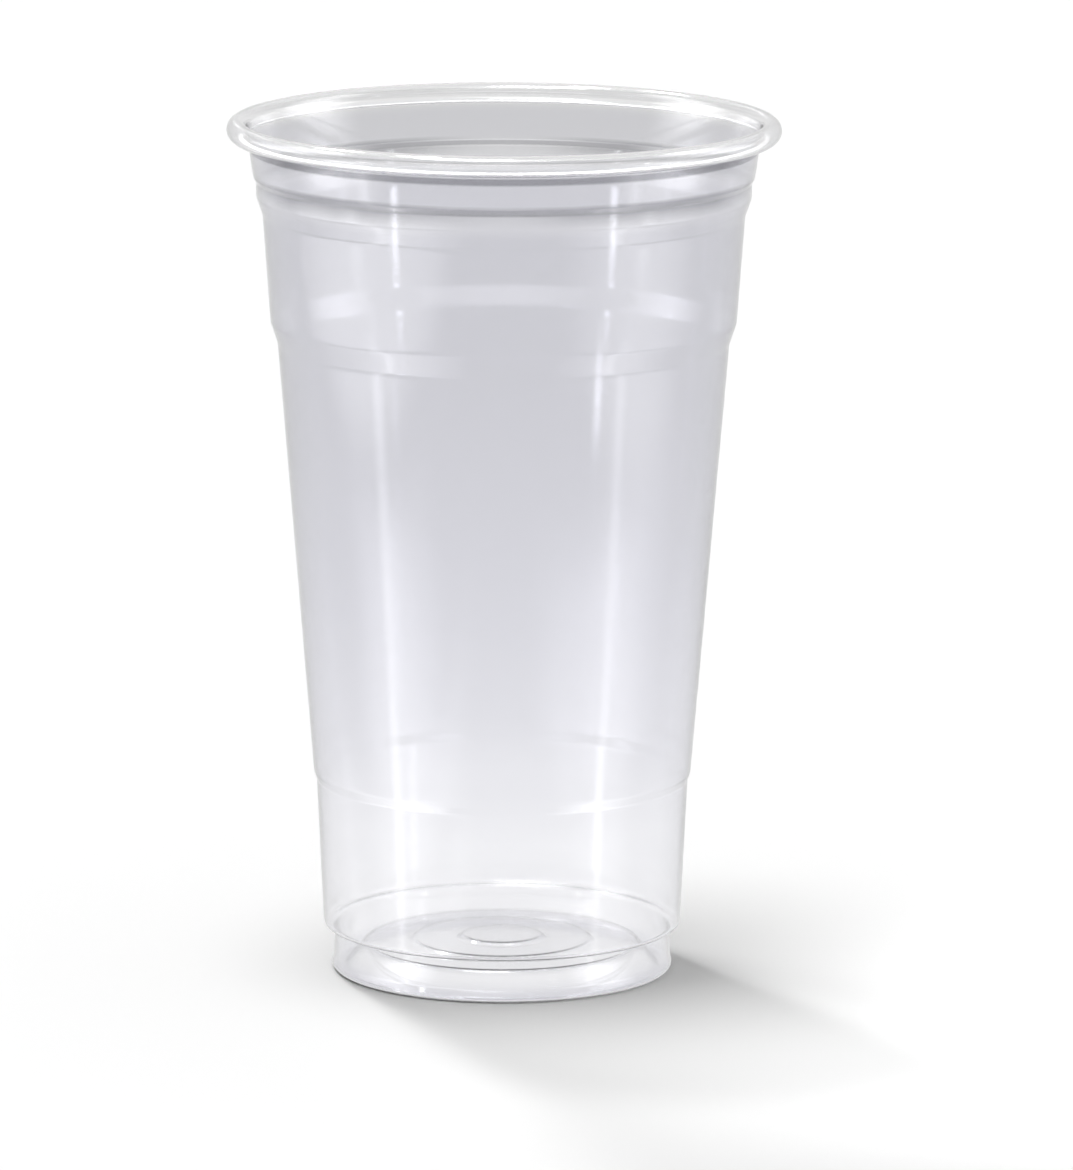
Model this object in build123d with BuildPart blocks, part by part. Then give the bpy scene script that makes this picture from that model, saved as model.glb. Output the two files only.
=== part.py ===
"""Clear disposable cold cup, formed from one plastic sheet with a rolled rim.

The frame stands the cup on the XY plane with its axis on Z. Lengths are in millimetres.
"""

import os
from math import cos, radians, sin, tan

from build123d import *

# Overall size and sheet
cup_height = 150.0
rim_diameter = 96.0
heel_diameter = 62.5
wall = 0.35

# Rolled rim
rim_tube = 3.7
curl_angle = 300.0

# Heights measured down from the top of the rim
shoulder_drop = 9.8
collar_drop = 13.4
ledge_drop = 35.3

# Steps that bring the wall inwards below the rim, and the height that each slope takes
shoulder_step = 0.5
shoulder_slope = 0.9
collar_step = 1.1
collar_slope = 3.2
ledge_step = 1.25
ledge_slope = 3.8

# Drafts of the wall from the vertical, in degrees
neck_draft = 8.5
collar_draft = 1.0
band_draft = 4.1
heel_draft = 2.7
foot_draft = 1.5

# Step between the cone and the heel, measured up from the table
heel_height = 33.8
heel_step = 0.5
heel_slope = 1.4

# Stacking ledge and foot
base_ledge_height = 7.9
base_ledge = 1.9
lip_height = 2.2
lip_flare = 0.55
foot_width = 2.4
foot_slope = 3.6

# Raised floor with concentric steps
floor_height = 4.3
floor_rings = 2
ring_pitch = 8.5
ring_rise = 0.5
ring_slope = 0.9

# Bend radii at the middle of the sheet
soft_bend = 2.0
shoulder_bend = 0.8
wall_bend = 1.5
base_bend = 0.7
foot_bend = 0.8
floor_bend = 1.0

# The outline follows the middle of the sheet, half a wall inside each outer size
half_wall = wall / 2

# Rim tube: the neck runs up into it along a tangent
tube_radius = rim_tube / 2 - half_wall
tube_centre_r = rim_diameter / 2 - rim_tube / 2
tube_centre_z = cup_height - rim_tube / 2
curl_start = 180 - neck_draft
neck_top_r = tube_centre_r - tube_radius * cos(radians(neck_draft))
neck_top_z = tube_centre_z + tube_radius * sin(radians(neck_draft))

# Upper wall, from the rim down to the foot of the ledge
shoulder_z = cup_height - shoulder_drop
collar_top_z = shoulder_z - shoulder_slope
collar_z = cup_height - collar_drop
band_top_z = collar_z - collar_slope
ledge_z = cup_height - ledge_drop
cone_top_z = ledge_z - ledge_slope
shoulder_r = neck_top_r - (neck_top_z - shoulder_z) * tan(radians(neck_draft))
collar_top_r = shoulder_r - shoulder_step
collar_r = collar_top_r - (collar_top_z - collar_z) * tan(radians(collar_draft))
band_top_r = collar_r - collar_step
ledge_r = band_top_r - (band_top_z - ledge_z) * tan(radians(band_draft))
cone_top_r = ledge_r - ledge_step

# Heel, stacking ledge and foot, from the table up
heel_r = heel_diameter / 2 - half_wall
foot_top_r = heel_r - base_ledge
lip_r = foot_top_r + (base_ledge_height - lip_height) * tan(radians(foot_draft))
foot_r = lip_r + lip_flare
heel_top_r = heel_r + (heel_height - base_ledge_height) * tan(radians(heel_draft))
cone_r = heel_top_r + heel_step
cone_z = heel_height + heel_slope

# Floor, one step lower at each ring on the way out
floor_z = floor_height + half_wall
floor_r = foot_r - foot_width - foot_slope
ring_radii = [floor_r - ring_pitch * ring for ring in range(floor_rings, 0, -1)]

# Outline from the middle of the floor to the rim: radius, height and bend of each corner
outline = [(0, floor_z + floor_rings * ring_rise, 0)]
for ring, ring_r in zip(range(floor_rings, 0, -1), ring_radii):
    outline.append((ring_r, floor_z + ring * ring_rise, floor_bend))
    outline.append((ring_r + ring_slope, floor_z + (ring - 1) * ring_rise, floor_bend))
outline += [
    (floor_r, floor_z, floor_bend),
    (foot_r - foot_width, half_wall, foot_bend),
    (foot_r, half_wall, foot_bend),
    (lip_r, lip_height, soft_bend),
    (foot_top_r, base_ledge_height, base_bend),
    (heel_r, base_ledge_height, base_bend),
    (heel_top_r, heel_height, wall_bend),
    (cone_r, cone_z, wall_bend),
    (cone_top_r, cone_top_z, wall_bend),
    (ledge_r, ledge_z, wall_bend),
    (band_top_r, band_top_z, soft_bend),
    (collar_r, collar_z, soft_bend),
    (collar_top_r, collar_top_z, shoulder_bend),
    (shoulder_r, shoulder_z, shoulder_bend),
    (neck_top_r, neck_top_z, 0),
]
corner_points = [(radius, height) for radius, height, bend in outline]
corner_bends = [bend for radius, height, bend in outline[1:-1]]

with BuildPart() as cup:
    with BuildSketch(Plane.XZ) as section:
        with BuildLine() as sheet:
            FilletPolyline(*corner_points, radius=corner_bends)
            CenterArc((tube_centre_r, tube_centre_z), tube_radius, curl_start, -curl_angle)
            offset(amount=half_wall)
        make_face()
        # The strip's round end crosses the axis, where it is trimmed
        Rectangle(rim_diameter, cup_height, align=(Align.MIN, Align.MIN), mode=Mode.INTERSECT)
    revolve(axis=Axis.Z)

cup.part.label = "cup"

os.makedirs("parts", exist_ok=True)
export_step(cup.part, "parts/cup.step")
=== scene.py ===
"""Looks of the clear disposable cup: a fine turned sheet in clear plastic, on a pale studio floor.

Places are in metres, in the cup's own frame. Sizes of the sheet are written in millimetres.
"""

from math import cos, degrees, pi, radians, sin, tan

import bpy
from mathutils import Matrix, Vector


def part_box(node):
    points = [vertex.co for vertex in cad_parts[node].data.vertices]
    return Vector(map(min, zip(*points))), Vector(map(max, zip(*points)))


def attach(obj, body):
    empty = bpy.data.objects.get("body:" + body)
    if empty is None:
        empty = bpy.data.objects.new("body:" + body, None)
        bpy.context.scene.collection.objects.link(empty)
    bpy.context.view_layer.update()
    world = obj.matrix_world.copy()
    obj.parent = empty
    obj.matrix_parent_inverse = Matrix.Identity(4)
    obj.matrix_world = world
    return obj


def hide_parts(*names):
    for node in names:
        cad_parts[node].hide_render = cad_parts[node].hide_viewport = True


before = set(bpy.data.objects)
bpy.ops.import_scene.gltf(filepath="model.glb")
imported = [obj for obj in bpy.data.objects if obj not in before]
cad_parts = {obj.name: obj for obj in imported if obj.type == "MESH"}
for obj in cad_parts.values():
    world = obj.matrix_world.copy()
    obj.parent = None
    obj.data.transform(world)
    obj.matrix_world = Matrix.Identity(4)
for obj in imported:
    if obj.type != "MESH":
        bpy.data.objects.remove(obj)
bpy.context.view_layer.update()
cup_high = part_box("cup")[1]

MM = 0.001


def linear(hex_colour):
    """Turns an sRGB hex colour into Blender's linear RGBA."""
    channels = [int(hex_colour[i:i + 2], 16) / 255 for i in (1, 3, 5)]
    return [c / 12.92 if c <= 0.04045 else ((c + 0.055) / 1.055) ** 2.4 for c in channels] + [1]


def add(tree, kind, inputs=None, **settings):
    """Adds a node to a tree, with its settings and with values or links on its inputs."""
    made = tree.nodes.new(kind)
    for name, value in settings.items():
        setattr(made, name, value)
    for key, value in (inputs or {}).items():
        if isinstance(value, bpy.types.NodeSocket):
            tree.links.new(value, made.inputs[key])
        else:
            made.inputs[key].default_value = value
    return made


# Sheet and rolled rim, in millimetres
cup_height = cup_high[2] / MM
rim_diameter = 2 * cup_high[0] / MM
heel_diameter = 62.5
wall = 0.35
rim_tube = 3.7
curl_angle = 300.0

# Heights measured down from the top of the rim
shoulder_drop = 9.8
collar_drop = 13.4
ledge_drop = 35.3

# Steps that bring the wall inwards below the rim, and the height that each slope takes
shoulder_step = 0.5
shoulder_slope = 0.9
collar_step = 1.1
collar_slope = 3.2
ledge_step = 1.25
ledge_slope = 3.8

# Drafts of the wall from the vertical, in degrees
neck_draft = 8.5
collar_draft = 1.0
band_draft = 4.1
heel_draft = 2.7
foot_draft = 1.5

# Step between the cone and the heel, measured up from the table
heel_height = 33.8
heel_step = 0.5
heel_slope = 1.4

# Stacking ledge and foot
base_ledge_height = 7.9
base_ledge = 1.9
lip_height = 2.2
lip_flare = 0.55
foot_width = 2.4
foot_slope = 3.6

# Raised floor with concentric steps
floor_height = 4.3
floor_rings = 2
ring_pitch = 8.5
ring_rise = 0.5
ring_slope = 0.9

# Bend radii at the middle of the sheet
soft_bend = 2.0
shoulder_bend = 0.8
wall_bend = 1.5
base_bend = 0.7
foot_bend = 0.8
floor_bend = 1.0

# Painted shade on the marked bends: how dark each looks, from 0 for none to 1 for the darkest
floor_ring_shade = 0.08
floor_edge_shade = 0.15
shoulder_shade = 0.6

# Painted shadow on the neck just under the rolled rim, a dark tint and not a form: drops from the rim's top,
# with the mark there
NECK_SHADOW_RING = ((5.6, 0.0), (5.2, 1.0), (4.3, 1.0), (4.0, 0.0))

# Length at the end of the curl that is taken as left satin by the trimming, which is a guess.
# It draws the second of the rim's white lines.
trimmed_end = 0.9

# How finely the sheet is turned, and how far a bend's painted dark line runs on past its ends
turn_segments = 240
bend_step = 6.0
guard = 0.7

# Grey of the sheet by height, from 0 at the table to 1 at the rim: seen face on, then at a slant.
# A faint grey of the plastic with painted shade on it: greyer up the body and at the neck, darker in
# the last millimetres by the table, lighter at the collar, and clear at the foot and the rim.
FACE_ON = (
    (0.0, "#EAEAEE"),
    (0.02, "#FDFDFE"),
    (0.19, "#FCFCFE"),
    (0.25, "#F5F5F8"),
    (0.45, "#F0F0F4"),
    (0.90, "#EEEEF2"),
    (0.915, "#F8F8FA"),
    (0.93, "#F8F8FA"),
    (0.94, "#F2F2F6"),
    (0.97, "#F2F2F6"),
    (0.98, "#FFFFFF"),
)
GRAZED = (
    (0.0, "#EAEAEE"),
    (0.02, "#FDFDFE"),
    (0.16, "#F0F0F3"),
    (0.45, "#DCDCE0"),
    (0.62, "#D4D4D8"),
    (0.87, "#D4D4D8"),
    (0.905, "#F2F2F6"),
    (0.93, "#F6F6F9"),
    (0.965, "#F6F6F9"),
    (0.975, "#FAFAFC"),
)
# Greys of the painted shade along the marked bends and of the painted shadow ring under the rim
BEND_SHADE_GREY = "#94949A"
RING_SHADOW_GREY = "#84848A"
TRIMMED_WHITE = "#F8F8F8"
DEPTH_GREY = "#8A8A94"

# Ripple left in the wall by forming: size of its waves and their height, in millimetres, and how much shows
ripple_size = 16.667
ripple_height = 1.0
ripple_shows = 0.02

# Fades: the two ends of what each follows, then its value at each end. This gives one soft ends.
SOFT_ENDS = {"interpolation_type": "SMOOTHSTEP"}

# By the sheet's slant, from 0 for face on to 1 for edge on: how dark the painted shade on a marked bend is,
# how far the tint goes over to the grazed one, and how much light each face lets through to the floor
BEND_FADE = (0.0, 0.06, 0.0, 1.0)
TINT_FADE = (0.45, 1.0, 0.0, 1.0)
SHADE_FADE = (0.72, 1.0, 0.555, 0.25)

# By distance on the floor: how much plain white glow the sheet shows there in place of lit paper, painted
# light that lifts the shadow under the cup, and how that white greys, slowly and then in one step, as painted
# shade
SHARE_FADE = (0.02, 0.12, 0.93, 0.75)
NEAR_PAINTED_SHADE = (0.08, 0.7, 1.0, 0.79)
FAR_PAINTED_SHADE = (0.97, 1.02, 1.0, 0.7)

# By the upward part of a direction: the level of the backdrop and of the dim ceiling over it
CEILING_FADE = (0.2, 0.6, 0.8, 0.25)

# Levels against white: the light on matt things, the room in reflections, and the backdrop
world_light = 0.27
room_level = 0.9
backdrop_level = 1.0

# Floor: half its length, and how far it lies below the foot, in metres
floor_half = 8.0
floor_drop = 0.05 * MM

# Lamps that light the floor: azimuth, elevation and spread in degrees, and the light they lay on it
SUNS = (
    ("key_low", -154, 47, 7, 0.66),
    ("key_high", -145, 67, 8, 0.56),
    ("side", -72, 81, 24, 1.50),
)

# Upright softboxes that only reflections show: azimuth, distance, lowest and highest point, width, level.
# Those on one azimuth stand at different distances, because at the same one they would hide each other.
SOFTBOXES = (
    ("left_core", -66, 0.44, -0.60, 0.010, 0.085, 1.25),
    ("left_halo", -62, 0.43, -0.60, -0.030, 0.50, 0.7),
    ("left_wash", -65, 0.45, -0.045, 0.065, 1.15, 1.9),
    ("left_slope", -65, 0.46, -0.48, -0.13, 1.15, 1.2),
    ("left_band", 58, 0.45, 0.090, 0.150, 0.045, 12.0),
    ("left_band_side", 90, 0.45, 0.098, 0.150, 0.07, 2.6),
    ("left_cone", 63, 0.45, 0.066, 0.098, 0.06, 1.4),
    ("left_cone_side", 74, 0.45, 0.066, 0.098, 0.06, 1.0),
    ("left_low_back", 68, 0.45, 0.0, 0.071, 0.10, 1.2),
    ("right_core", 61, 0.44, -0.60, 0.010, 0.075, 1.0),
    ("right_halo", 66, 0.43, -0.60, -0.030, 0.40, 0.55),
    ("right_wash", 66, 0.45, -0.055, 0.065, 0.75, 1.5),
    ("right_slope", 66, 0.46, -0.48, -0.13, 0.75, 1.1),
    ("right_band", -58, 0.45, 0.090, 0.150, 0.045, 11.0),
    ("right_band_side", -90, 0.45, 0.098, 0.150, 0.07, 2.2),
    ("right_cone", -54, 0.45, 0.072, 0.100, 0.055, 10.0),
    ("right_low_back", -72.5, 0.45, 0.0, 0.071, 0.10, 1.2),
    ("left_mouth", 100, 0.45, 0.15, 0.70, 0.50, 2.8),
    ("right_mouth", -100, 0.45, 0.15, 0.70, 0.50, 3.2),
    ("left_knot", 92, 0.45, 0.220, 0.244, 0.16, 7.0),
    ("left_small_knot", 62, 0.45, 0.271, 0.295, 0.07, 5.0),
    ("right_small_knot", -36, 0.45, 0.301, 0.325, 0.09, 6.0),
    ("right_line", -69, 0.45, 0.260, 0.284, 0.24, 4.0),
    ("right_knot", -97, 0.45, 0.212, 0.236, 0.16, 7.0),
    ("front", 0, 0.9, 0.48, 0.78, 3.6, 1.8),
)

# Level softbox above the mouth: place, width, depth and level
TOP_PLACE = (0, -0.15, 0.75)
TOP_SIZE = (0.5, 0.35)
top_level = 2.6

# Width of the soft edge along the top and the bottom of a softbox
soft_edge = 0.03

# Small spot that lifts the floor beside the foot: where it stands and what it points at,
# its power in watts, its spread in degrees and its radius
BOUNCE_PLACE = (0.42, -0.24, 0.5)
BOUNCE_AIM = (0.108, -0.061, 0)
bounce_power = 6.0
bounce_spread = 21
bounce_radius = 0.02


def sheet_corners():
    """Corners of the middle of the sheet from the floor to the neck: radius, height, bend and painted bend
    shade.
    """
    half_wall = wall / 2
    corners = [(0, floor_height + half_wall + floor_rings * ring_rise, 0, 0)]
    heel_r = heel_diameter / 2 - half_wall
    foot_top_r = heel_r - base_ledge
    lip_r = foot_top_r + (base_ledge_height - lip_height) * tan(radians(foot_draft))
    foot_r = lip_r + lip_flare
    floor_r = foot_r - foot_width - foot_slope
    floor_z = floor_height + half_wall
    for ring in range(floor_rings, 0, -1):
        ring_r = floor_r - ring_pitch * ring
        corners.append((ring_r, floor_z + ring * ring_rise, floor_bend, floor_ring_shade))
        corners.append((ring_r + ring_slope, floor_z + (ring - 1) * ring_rise, floor_bend, floor_ring_shade))
    heel_top_r = heel_r + (heel_height - base_ledge_height) * tan(radians(heel_draft))
    tube_r, tube_z = tube_centre()
    radius = tube_radius()
    neck_top = (tube_r - radius * cos(radians(neck_draft)), tube_z + radius * sin(radians(neck_draft)))
    shoulder_z = cup_height - shoulder_drop
    collar_top_z = shoulder_z - shoulder_slope
    collar_z = cup_height - collar_drop
    band_top_z = collar_z - collar_slope
    ledge_z = cup_height - ledge_drop
    shoulder_r = neck_top[0] - (neck_top[1] - shoulder_z) * tan(radians(neck_draft))
    collar_top_r = shoulder_r - shoulder_step
    collar_r = collar_top_r - (collar_top_z - collar_z) * tan(radians(collar_draft))
    band_top_r = collar_r - collar_step
    ledge_r = band_top_r - (band_top_z - ledge_z) * tan(radians(band_draft))
    return corners + [
        (floor_r, floor_z, floor_bend, floor_edge_shade),
        (foot_r - foot_width, half_wall, foot_bend, 0),
        (foot_r, half_wall, foot_bend, 0),
        (lip_r, lip_height, soft_bend, 0),
        (foot_top_r, base_ledge_height, base_bend, 0),
        (heel_r, base_ledge_height, base_bend, 0),
        (heel_top_r, heel_height, wall_bend, 0),
        (heel_top_r + heel_step, heel_height + heel_slope, wall_bend, 0),
        (ledge_r - ledge_step, ledge_z - ledge_slope, wall_bend, 0),
        (ledge_r, ledge_z, wall_bend, 0),
        (band_top_r, band_top_z, soft_bend, 0),
        (collar_r, collar_z, soft_bend, 0),
        (collar_top_r, collar_top_z, shoulder_bend, shoulder_shade),
        (shoulder_r, shoulder_z, shoulder_bend, shoulder_shade),
        (*neck_top, 0, 0),
    ]


def tube_radius():
    """Radius of the rolled rim at the middle of the sheet."""
    return rim_tube / 2 - wall / 2


def tube_centre():
    """Centre of the rolled rim in the section: radius and height."""
    return rim_diameter / 2 - rim_tube / 2, cup_height - rim_tube / 2


def arc(centre, radius, start, turn, bend_shade=0, rim_shade_and_trim=0):
    """Marked points along an arc by angles in degrees, about a bend's step apart."""
    steps = max(2, round(abs(turn) / bend_step))
    angles = [radians(start + turn * i / steps) for i in range(steps + 1)]
    places = [Vector(centre) + radius * Vector((cos(a), sin(a))) for a in angles]
    return [(place, bend_shade, rim_shade_and_trim) for place in places]


def sheet_line():
    """Middle of the sheet, in millimetres, from the floor's centre to the end of the curl.

    A point is its place, its painted bend shade, and its rim mark: down to -1 in the painted shadow ring, 1
    on the trimmed end.
    """
    corners = sheet_corners()
    line = [(Vector(corners[0][:2]), 0, 0)]
    for before, corner, after in zip(corners, corners[1:], corners[2:]):
        here = Vector(corner[:2])
        come = (here - Vector(before[:2])).normalized()
        go = (Vector(after[:2]) - here).normalized()
        turn = -come.angle_signed(go)
        bend, mark = corner[2:]
        start = here - come * bend * tan(abs(turn) / 2)
        side = Vector((-come.y, come.x)) * (1 if turn > 0 else -1)
        centre = start + side * bend
        first = Vector((1, 0)).angle_signed(start - centre)
        line += arc(centre, bend, -degrees(first), degrees(turn), mark)
    neck_foot = Vector(corners[-2][:2])
    neck_rise = Vector(corners[-1][:2]) - neck_foot
    for drop, mark in NECK_SHADOW_RING:
        up = cup_height - drop - neck_foot.y
        line.append((neck_foot + neck_rise * up / neck_rise.y, 0, -mark))
    curl_start = 180 - neck_draft
    trimmed_angle = degrees(trimmed_end / tube_radius())
    clear_angle = curl_angle - trimmed_angle
    line += arc(tube_centre(), tube_radius(), curl_start, -clear_angle)
    line += arc(tube_centre(), tube_radius(), curl_start - clear_angle, -trimmed_angle, rim_shade_and_trim=1)
    return guarded(line)


def guarded(line):
    """The line with an unmarked point near each end of its long straight runs, where the marks end."""
    full = [line[0]]
    for start_point, end_point in zip(line, line[1:]):
        start, end = start_point[0], end_point[0]
        run = end - start
        if run.length > 4 * guard:
            step = run.normalized() * guard
            full += [(start + step, 0, 0), (end - step, 0, 0)]
        full.append(end_point)
    return full


def sheet_curve():
    """The sheet's line as a curve in the XZ plane: its radius is the painted bend shade and its tilt the rim
    mark.
    """
    line = sheet_line()
    curve = bpy.data.curves.new("sheet_line", "CURVE")
    curve.dimensions = "3D"
    spline = curve.splines.new("POLY")
    spline.points.add(len(line) - 1)
    for point, (place, bend_shade, rim_shade_and_trim) in zip(spline.points, line):
        point.co = (place.x * MM, 0, place.y * MM, 1)
        point.radius = bend_shade
        point.tilt = rim_shade_and_trim
    piece = bpy.data.objects.new("clear_cup", curve)
    bpy.context.scene.collection.objects.link(piece)
    return piece


def turning_tree():
    """Geometry nodes that give the sheet its thickness and turn it about the Z axis."""
    tree = bpy.data.node_groups.new("turned_sheet", "GeometryNodeTree")
    tree.is_modifier = True
    for name, way, kind in (
        ("Sheet line", "INPUT", "NodeSocketGeometry"),
        ("Wall", "INPUT", "NodeSocketFloat"),
        ("Segments", "INPUT", "NodeSocketInt"),
        ("Material", "INPUT", "NodeSocketMaterial"),
        ("Cup", "OUTPUT", "NodeSocketGeometry"),
    ):
        tree.interface.new_socket(name, in_out=way, socket_type=kind)
    given = add(tree, "NodeGroupInput").outputs
    line = given["Sheet line"]

    # The section's outline goes up the outside of the line and back down its inside
    count = add(tree, "GeometryNodeAttributeDomainSize", {0: line}, component="CURVE").outputs[0]
    outline = add(tree, "ShaderNodeMath", {0: count, 1: 2.0}, operation="MULTIPLY").outputs[0]
    columns = add(tree, "ShaderNodeMath", {0: given["Segments"], 1: 1.0}, operation="ADD").outputs[0]
    grid = add(tree, "GeometryNodeMeshGrid", {"Vertices X": columns, "Vertices Y": outline}).outputs[0]
    index = add(tree, "GeometryNodeInputIndex").outputs[0]
    row = add(tree, "ShaderNodeMath", {0: index, 1: outline}, operation="MODULO").outputs[0]
    divided = add(tree, "ShaderNodeMath", {0: index, 1: outline}, operation="DIVIDE").outputs[0]
    column = add(tree, "ShaderNodeMath", {0: divided}, operation="FLOOR").outputs[0]
    inner_row = add(tree, "ShaderNodeMath", {0: row, 1: count}, operation="SUBTRACT").outputs[0]
    inside = add(tree, "ShaderNodeMath", {0: inner_row, 1: -0.5}, operation="GREATER_THAN").outputs[0]
    outside = add(tree, "ShaderNodeMath", {0: 1.0, 1: inside}, operation="SUBTRACT").outputs[0]
    last = add(tree, "ShaderNodeMath", {0: outline, 1: 1.0}, operation="SUBTRACT").outputs[0]
    back = add(tree, "ShaderNodeMath", {0: last, 1: row}, operation="SUBTRACT").outputs[0]
    along = add(tree, "ShaderNodeMath", {0: row, 1: back}, operation="MINIMUM").outputs[0]

    # What the line carries at each point of the outline
    read = {}
    for name, source, kind in (
        ("place", "GeometryNodeInputPosition", "FLOAT_VECTOR"),
        ("heading", "GeometryNodeInputTangent", "FLOAT_VECTOR"),
        ("bend_shade", "GeometryNodeInputRadius", "FLOAT"),
        ("rim_shade_and_trim", "GeometryNodeInputCurveTilt", "FLOAT"),
    ):
        inputs = {0: line, "Value": add(tree, source).outputs[0], "Index": along}
        sampled = add(tree, "GeometryNodeSampleIndex", inputs, data_type=kind, domain="POINT")
        read[name] = sampled.outputs[0]

    # Half a wall to each side of the line, across its direction
    crossed = {0: read["heading"], 1: (0, 1, 0)}
    across = add(tree, "ShaderNodeVectorMath", crossed, operation="CROSS_PRODUCT").outputs[0]
    side = add(tree, "ShaderNodeMath", {0: inside, 1: 0.5}, operation="SUBTRACT").outputs[0]
    shift = add(tree, "ShaderNodeMath", {0: side, 1: given["Wall"]}, operation="MULTIPLY").outputs[0]
    offset = add(tree, "ShaderNodeVectorMath", {0: across, "Scale": shift}, operation="SCALE").outputs[0]
    section = add(tree, "ShaderNodeVectorMath", {0: read["place"], 1: offset}, operation="ADD").outputs[0]

    # Each column of the grid stands at its own angle round the axis
    portion = add(tree, "ShaderNodeMath", {0: column, 1: given["Segments"]}, operation="DIVIDE").outputs[0]
    angle = add(tree, "ShaderNodeMath", {0: portion, 1: 2 * pi}, operation="MULTIPLY").outputs[0]
    spun = {"Vector": section, "Angle": angle}
    turned = add(tree, "ShaderNodeVectorRotate", spun, rotation_type="Z_AXIS").outputs[0]

    # The marks go to the material: the painted shadow ring under the rim lies on the outside only
    below = {0: read["rim_shade_and_trim"], 1: -1.0}
    ring = add(tree, "ShaderNodeMath", below, operation="MULTIPLY", use_clamp=True).outputs[0]
    outer_shadow_ring = add(tree, "ShaderNodeMath", {0: ring, 1: outside}, operation="MULTIPLY").outputs[0]
    above = {0: read["rim_shade_and_trim"], 1: 1.0}
    trimmed = add(tree, "ShaderNodeMath", above, operation="MULTIPLY", use_clamp=True).outputs[0]
    marks = (("bend_shade", read["bend_shade"]), ("rim_shadow_ring", outer_shadow_ring), ("trimmed_end", trimmed))
    shape = grid
    for name, value in marks:
        inputs = {0: shape, "Name": name, "Value": value}
        stored = add(tree, "GeometryNodeStoreNamedAttribute", inputs, data_type="FLOAT", domain="POINT")
        shape = stored.outputs[0]

    shaped = add(tree, "GeometryNodeSetPosition", {0: shape, "Position": turned}).outputs[0]
    closed = add(tree, "GeometryNodeMergeByDistance", {0: shaped, "Distance": 0.001 * MM}).outputs[0]
    smooth = add(tree, "GeometryNodeSetShadeSmooth", {0: closed}).outputs[0]
    real = add(tree, "GeometryNodeRealizeInstances", {0: smooth}).outputs[0]
    finished = add(tree, "GeometryNodeSetMaterial", {0: real, "Material": given["Material"]}).outputs[0]
    add(tree, "NodeGroupOutput", {0: finished})
    return tree


def turn_cup(material):
    """Turns the sheet line into the cup's closed mesh."""
    line = sheet_curve()
    tree = turning_tree()
    turning = line.modifiers.new("turning", "NODES")
    turning.node_group = tree
    values = {"Wall": wall * MM, "Segments": turn_segments, "Material": material}
    for item in tree.interface.items_tree:
        if item.in_out == "INPUT" and item.name in values:
            turning[item.identifier] = values[item.name]
    ready = line.evaluated_get(bpy.context.evaluated_depsgraph_get())
    mesh = bpy.data.meshes.new_from_object(ready)
    mesh.name = "clear_cup"
    bpy.data.objects.remove(line)
    cup = bpy.data.objects.new("clear_cup", mesh)
    bpy.context.scene.collection.objects.link(cup)
    return cup


def ramp(tree, factor, stops):
    """Colours along a factor, from stops of position and sRGB hex."""
    made = add(tree, "ShaderNodeValToRGB", {0: factor})
    elements = made.color_ramp.elements
    while len(elements) < len(stops):
        elements.new(0.5)
    for stop, (where, colour) in zip(elements, stops):
        stop.position = where
        stop.color = linear(colour)
    return made.outputs[0]


def faded(value, limits):
    """Inputs that map a value by one of the fades."""
    return {0: value, **dict(enumerate(limits, start=1))}


def reflected(tree):
    """1 for what is seen after at least one reflection, and 0 for the rest."""
    depth = add(tree, "ShaderNodeLightPath").outputs["Glossy Depth"]
    return add(tree, "ShaderNodeMath", {0: depth, 1: 0.5}, operation="GREATER_THAN").outputs[0]


def by_cup(tree):
    """1 for what is seen by way of the cup, in its gloss or through its wall, and 0 for the rest."""
    path = add(tree, "ShaderNodeLightPath").outputs
    ways = {0: path["Is Glossy Ray"], 1: path["Is Transmission Ray"]}
    return add(tree, "ShaderNodeMath", ways, operation="MAXIMUM").outputs[0]


def sheet_tint_and_shade(tree, height, facing):
    """The sheet's grey by height and slant, with painted shade: greyer up the body, darker along the marked
    bends and in the painted shadow ring under the rim.
    """
    level = add(tree, "ShaderNodeMath", {0: height, 1: cup_high[2]}, operation="DIVIDE").outputs[0]
    face_on = ramp(tree, level, FACE_ON)
    grazed = ramp(tree, level, GRAZED)
    slant = add(tree, "ShaderNodeMapRange", faded(facing, BEND_FADE)).outputs[0]
    mark = add(tree, "ShaderNodeAttribute", attribute_name="bend_shade").outputs["Fac"]
    dark = add(tree, "ShaderNodeMath", {0: mark, 1: slant}, operation="MULTIPLY").outputs[0]
    bent = {0: dark, 6: face_on, 7: linear(BEND_SHADE_GREY)}
    bends = add(tree, "ShaderNodeMix", bent, data_type="RGBA").outputs[2]
    grazing = add(tree, "ShaderNodeMapRange", faded(facing, TINT_FADE), **SOFT_ENDS).outputs[0]
    slanted = {0: grazing, 6: bends, 7: grazed}
    wall_tint_and_shade = add(tree, "ShaderNodeMix", slanted, data_type="RGBA").outputs[2]

    # The painted shadow ring shows where light enters the sheet, not where it leaves
    ring = add(tree, "ShaderNodeAttribute", attribute_name="rim_shadow_ring").outputs["Fac"]
    leaving = add(tree, "ShaderNodeNewGeometry").outputs["Backfacing"]
    entering = add(tree, "ShaderNodeMath", {0: 1.0, 1: leaving}, operation="SUBTRACT").outputs[0]
    shaded = add(tree, "ShaderNodeMath", {0: ring, 1: entering}, operation="MULTIPLY").outputs[0]
    ringed = {0: shaded, 6: wall_tint_and_shade, 7: linear(RING_SHADOW_GREY)}
    return add(tree, "ShaderNodeMix", ringed, data_type="RGBA").outputs[2]


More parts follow.
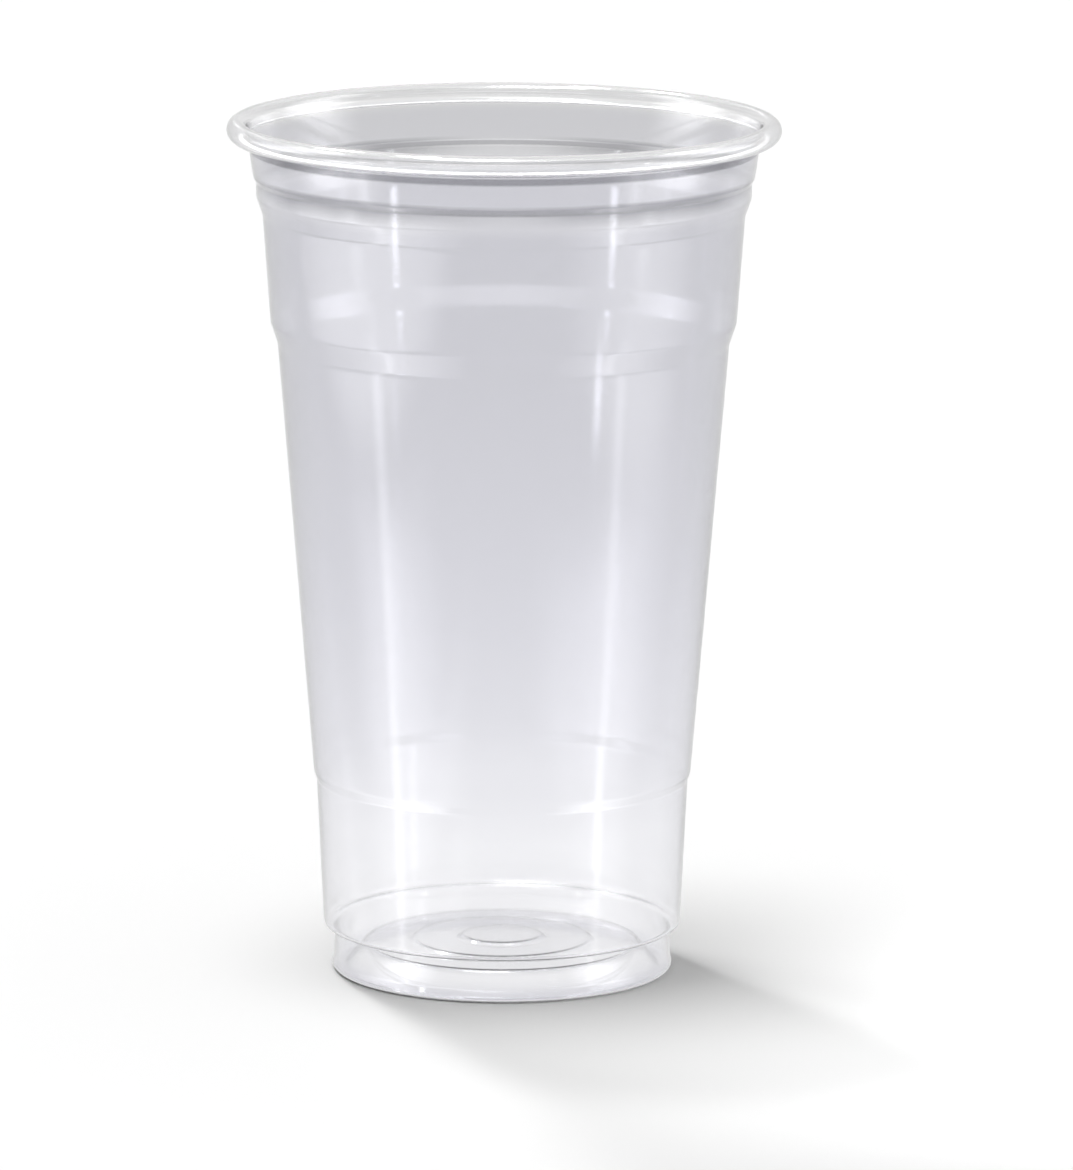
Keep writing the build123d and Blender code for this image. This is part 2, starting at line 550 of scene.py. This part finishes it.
def clear_sheet():
    """Clear formed plastic sheet: glossy and faintly grey, with painted shade that greys it up the body and
    leaves it clearer towards the foot.

    The trimmed end of the curl is taken as satin, which draws a second white line round the rim.
    """
    material = bpy.data.materials.new("clear_formed_sheet")
    material.use_nodes = True
    tree = material.node_tree
    tree.nodes.clear()
    place = add(tree, "ShaderNodeTexCoord").outputs["Object"]
    height = add(tree, "ShaderNodeSeparateXYZ", {0: place}).outputs["Z"]
    facing = add(tree, "ShaderNodeLayerWeight", {"Blend": 0.5}).outputs["Facing"]
    waves = {"Vector": place, "Scale": 1 / (ripple_size * MM), "Detail": 1.0}
    ripple = add(tree, "ShaderNodeTexNoise", waves).outputs[0]
    relief = {"Height": ripple, "Strength": ripple_shows, "Distance": ripple_height * MM}
    bump = add(tree, "ShaderNodeBump", relief).outputs[0]
    surface = add(tree, "ShaderNodeBsdfPrincipled", {
        "Base Color": sheet_tint_and_shade(tree, height, facing),
        "Roughness": 0.06,
        "IOR": 1.5,
        "Transmission Weight": 1.0,
        "Normal": bump,
    }).outputs[0]
    trimmed = add(tree, "ShaderNodeAttribute", attribute_name="trimmed_end").outputs["Fac"]
    finish = {"Color": linear(TRIMMED_WHITE), "Roughness": 0.6}
    satin = add(tree, "ShaderNodeBsdfGlossy", finish).outputs[0]
    sheet = add(tree, "ShaderNodeMixShader", {0: trimmed, 1: surface, 2: satin}).outputs[0]

    # Light on its way to the floor goes straight through, less of it where the sheet is seen at a slant
    shade = add(tree, "ShaderNodeMapRange", faded(facing, SHADE_FADE), **SOFT_ENDS).outputs[0]
    lamp_light = add(tree, "ShaderNodeBsdfTransparent", {0: shade}).outputs[0]
    path = add(tree, "ShaderNodeLightPath").outputs
    to_floor = {0: path["Is Shadow Ray"], 1: path["Is Diffuse Ray"]}
    lamps = add(tree, "ShaderNodeMath", to_floor, operation="MAXIMUM").outputs[0]
    look = add(tree, "ShaderNodeMixShader", {0: lamps, 1: sheet, 2: lamp_light}).outputs[0]
    depth = {"Color": linear(DEPTH_GREY), "Density": 120.0}
    depth_tint = add(tree, "ShaderNodeVolumeAbsorption", depth).outputs[0]
    add(tree, "ShaderNodeOutputMaterial", {"Surface": look, "Volume": depth_tint})
    return material


def studio_floor():
    """White paper, which keeps the cup's shadow. Through clear plastic it shows a white glow, painted light,
    that greys with distance as painted shade.
    """
    material = bpy.data.materials.new("white_paper")
    material.use_nodes = True
    tree = material.node_tree
    tree.nodes.clear()
    place = add(tree, "ShaderNodeTexCoord").outputs["Object"]
    away = add(tree, "ShaderNodeVectorMath", {0: place}, operation="LENGTH").outputs["Value"]
    clear = add(tree, "ShaderNodeMapRange", faded(away, SHARE_FADE)).outputs[0]
    share = add(tree, "ShaderNodeMath", {0: by_cup(tree), 1: clear}, operation="MULTIPLY").outputs[0]
    near = add(tree, "ShaderNodeMapRange", faded(away, NEAR_PAINTED_SHADE), **SOFT_ENDS).outputs[0]
    far = add(tree, "ShaderNodeMapRange", faded(away, FAR_PAINTED_SHADE), **SOFT_ENDS).outputs[0]
    level = add(tree, "ShaderNodeMath", {0: near, 1: far}, operation="MULTIPLY").outputs[0]
    lit = add(tree, "ShaderNodeBsdfDiffuse", {"Color": (0.9, 0.9, 0.9, 1)}).outputs[0]
    white = add(tree, "ShaderNodeEmission", {"Color": (1, 1, 1, 1), "Strength": level}).outputs[0]
    seen = add(tree, "ShaderNodeMixShader", {0: share, 1: lit, 2: white}).outputs[0]

    # Reflections pass through it to the softboxes, which reach below the floor
    open_floor = add(tree, "ShaderNodeBsdfTransparent").outputs[0]
    both = add(tree, "ShaderNodeMixShader", {0: reflected(tree), 1: seen, 2: open_floor}).outputs[0]
    add(tree, "ShaderNodeOutputMaterial", {"Surface": both})

    mesh = bpy.data.meshes.new("studio_floor")
    corners = ((-1, -1), (1, -1), (1, 1), (-1, 1))
    mesh.from_pydata([(x * floor_half, y * floor_half, -floor_drop) for x, y in corners], [], [(0, 1, 2, 3)])
    mesh.materials.append(material)
    floor = bpy.data.objects.new("studio_floor", mesh)
    bpy.context.scene.collection.objects.link(floor)


def studio_world():
    """A white backdrop for the eye, and plain light all round.

    Clear plastic lets a dim ceiling show through it, and reflects an even room.
    """
    world = bpy.data.worlds.new("studio")
    world.use_nodes = True
    tree = world.node_tree
    tree.nodes.clear()
    direction = add(tree, "ShaderNodeTexCoord").outputs["Generated"]
    height = add(tree, "ShaderNodeSeparateXYZ", {0: direction}).outputs["Z"]
    ceiling = add(tree, "ShaderNodeMapRange", faded(height, CEILING_FADE), **SOFT_ENDS).outputs[0]
    white = (1, 1, 1, 1)
    light, studio, room, backdrop = (
        add(tree, "ShaderNodeBackground", {"Color": white, "Strength": level}).outputs[0]
        for level in (world_light, ceiling, room_level, backdrop_level)
    )
    through = add(tree, "ShaderNodeMixShader", {0: by_cup(tree), 1: light, 2: studio}).outputs[0]
    indirect = add(tree, "ShaderNodeMixShader", {0: reflected(tree), 1: through, 2: room}).outputs[0]
    straight = add(tree, "ShaderNodeLightPath").outputs["Is Camera Ray"]
    whole = add(tree, "ShaderNodeMixShader", {0: straight, 1: indirect, 2: backdrop}).outputs[0]
    add(tree, "ShaderNodeOutputWorld", {"Surface": whole})
    bpy.context.scene.world = world


def lamp(name, kind, place, aim, **settings):
    """A lamp at a place, pointed at another."""
    data = bpy.data.lights.new(name, kind)
    for key, value in settings.items():
        setattr(data, key, value)
    made = bpy.data.objects.new(name, data)
    made.location = place
    made.rotation_euler = (Vector(aim) - Vector(place)).to_track_quat("-Z", "Y").to_euler()
    bpy.context.scene.collection.objects.link(made)
    return made


def around(azimuth, distance, height):
    """A place round the cup. Azimuth 0 is the camera's side, and positive is to its right."""
    a = radians(azimuth)
    return Vector((distance * sin(a), -distance * cos(a), height))


def studio_lamps():
    """A soft key behind on the left, a high side light, and softboxes that draw the streaks down the wall."""
    middle = Vector((0, 0, cup_high[2] / 2))
    for name, azimuth, elevation, spread, light in SUNS:
        place = around(azimuth, 1.0, middle.z + tan(radians(elevation)))
        energy = light / sin(radians(elevation))
        lamp(name, "SUN", place, middle, energy=energy, angle=radians(spread))
    for name, azimuth, distance, low, high, width, level in SOFTBOXES:
        place = around(azimuth, distance, (low + high) / 2)
        softbox(name, place, (pi / 2, 0, radians(azimuth)), width, high - low, level)
    softbox("top", TOP_PLACE, (0, 0, 0), *TOP_SIZE, top_level)
    bounce = lamp("bounce", "SPOT", BOUNCE_PLACE, BOUNCE_AIM, energy=bounce_power)
    bounce.data.spot_size = radians(bounce_spread)
    bounce.data.spot_blend = 1.0
    bounce.data.shadow_soft_size = bounce_radius
    bounce.visible_glossy = False
    bounce.visible_transmission = False


def softbox(name, place, turn, width, tall, level):
    """A panel of light, brightest in the middle, at a level set against white. Only reflections show it."""
    made = lamp(name, "AREA", place, (0, 0, 0), energy=level * pi * width * tall)
    made.data.shape = "RECTANGLE"
    made.data.size = width
    made.data.size_y = tall
    made.rotation_euler = turn
    made.visible_diffuse = False
    made.visible_camera = False
    made.data.use_nodes = True
    tree = made.data.node_tree
    tree.nodes.clear()
    spot = add(tree, "ShaderNodeNewGeometry").outputs["Parametric"]
    across = add(tree, "ShaderNodeSeparateXYZ", {0: spot}).outputs
    glow = reflected(tree)
    for part, soft in (("X", 0.5), ("Y", min(0.5, soft_edge / tall))):
        off_centre = add(tree, "ShaderNodeMath", {0: across[part], 1: 0.5}, operation="SUBTRACT").outputs[0]
        to_edge = add(tree, "ShaderNodeMath", {0: off_centre}, operation="ABSOLUTE").outputs[0]
        edge_fade = faded(to_edge, (0.5 - soft, 0.5, 1.0, 0.0))
        kept = add(tree, "ShaderNodeMapRange", edge_fade, **SOFT_ENDS).outputs[0]
        glow = add(tree, "ShaderNodeMath", {0: kept, 1: glow}, operation="MULTIPLY").outputs[0]
    shine = add(tree, "ShaderNodeEmission", {"Strength": glow}).outputs[0]
    add(tree, "ShaderNodeOutputLight", {0: shine})


def studio_camera():
    """The photograph's view: a long lens 1.6 m away, a little above the rim."""
    image_long_side = 1170
    focal_pixels = 9175
    distance, height = 1.572, 0.3686
    pitch, pan, roll = radians(10.828), radians(0.2137), radians(0.216)
    data = bpy.data.cameras.new("photo_view")
    data.sensor_width = 36.0
    data.lens = focal_pixels / image_long_side * data.sensor_width
    data.clip_start = 0.01
    data.clip_end = 50
    camera = bpy.data.objects.new("photo_view", data)
    panned = Matrix.Rotation(-pan, 4, "Z")
    pitched = Matrix.Rotation(pi / 2 - pitch, 4, "X")
    rolled = Matrix.Rotation(roll, 4, "Z")
    camera.matrix_world = Matrix.Translation((0, -distance, height)) @ panned @ pitched @ rolled
    bpy.context.scene.collection.objects.link(camera)
    bpy.context.scene.camera = camera


studio_camera()
cup = turn_cup(clear_sheet())
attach(cup, "root")
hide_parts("cup")

studio_floor()
studio_world()
studio_lamps()
bpy.context.scene.view_settings.view_transform = "Standard"
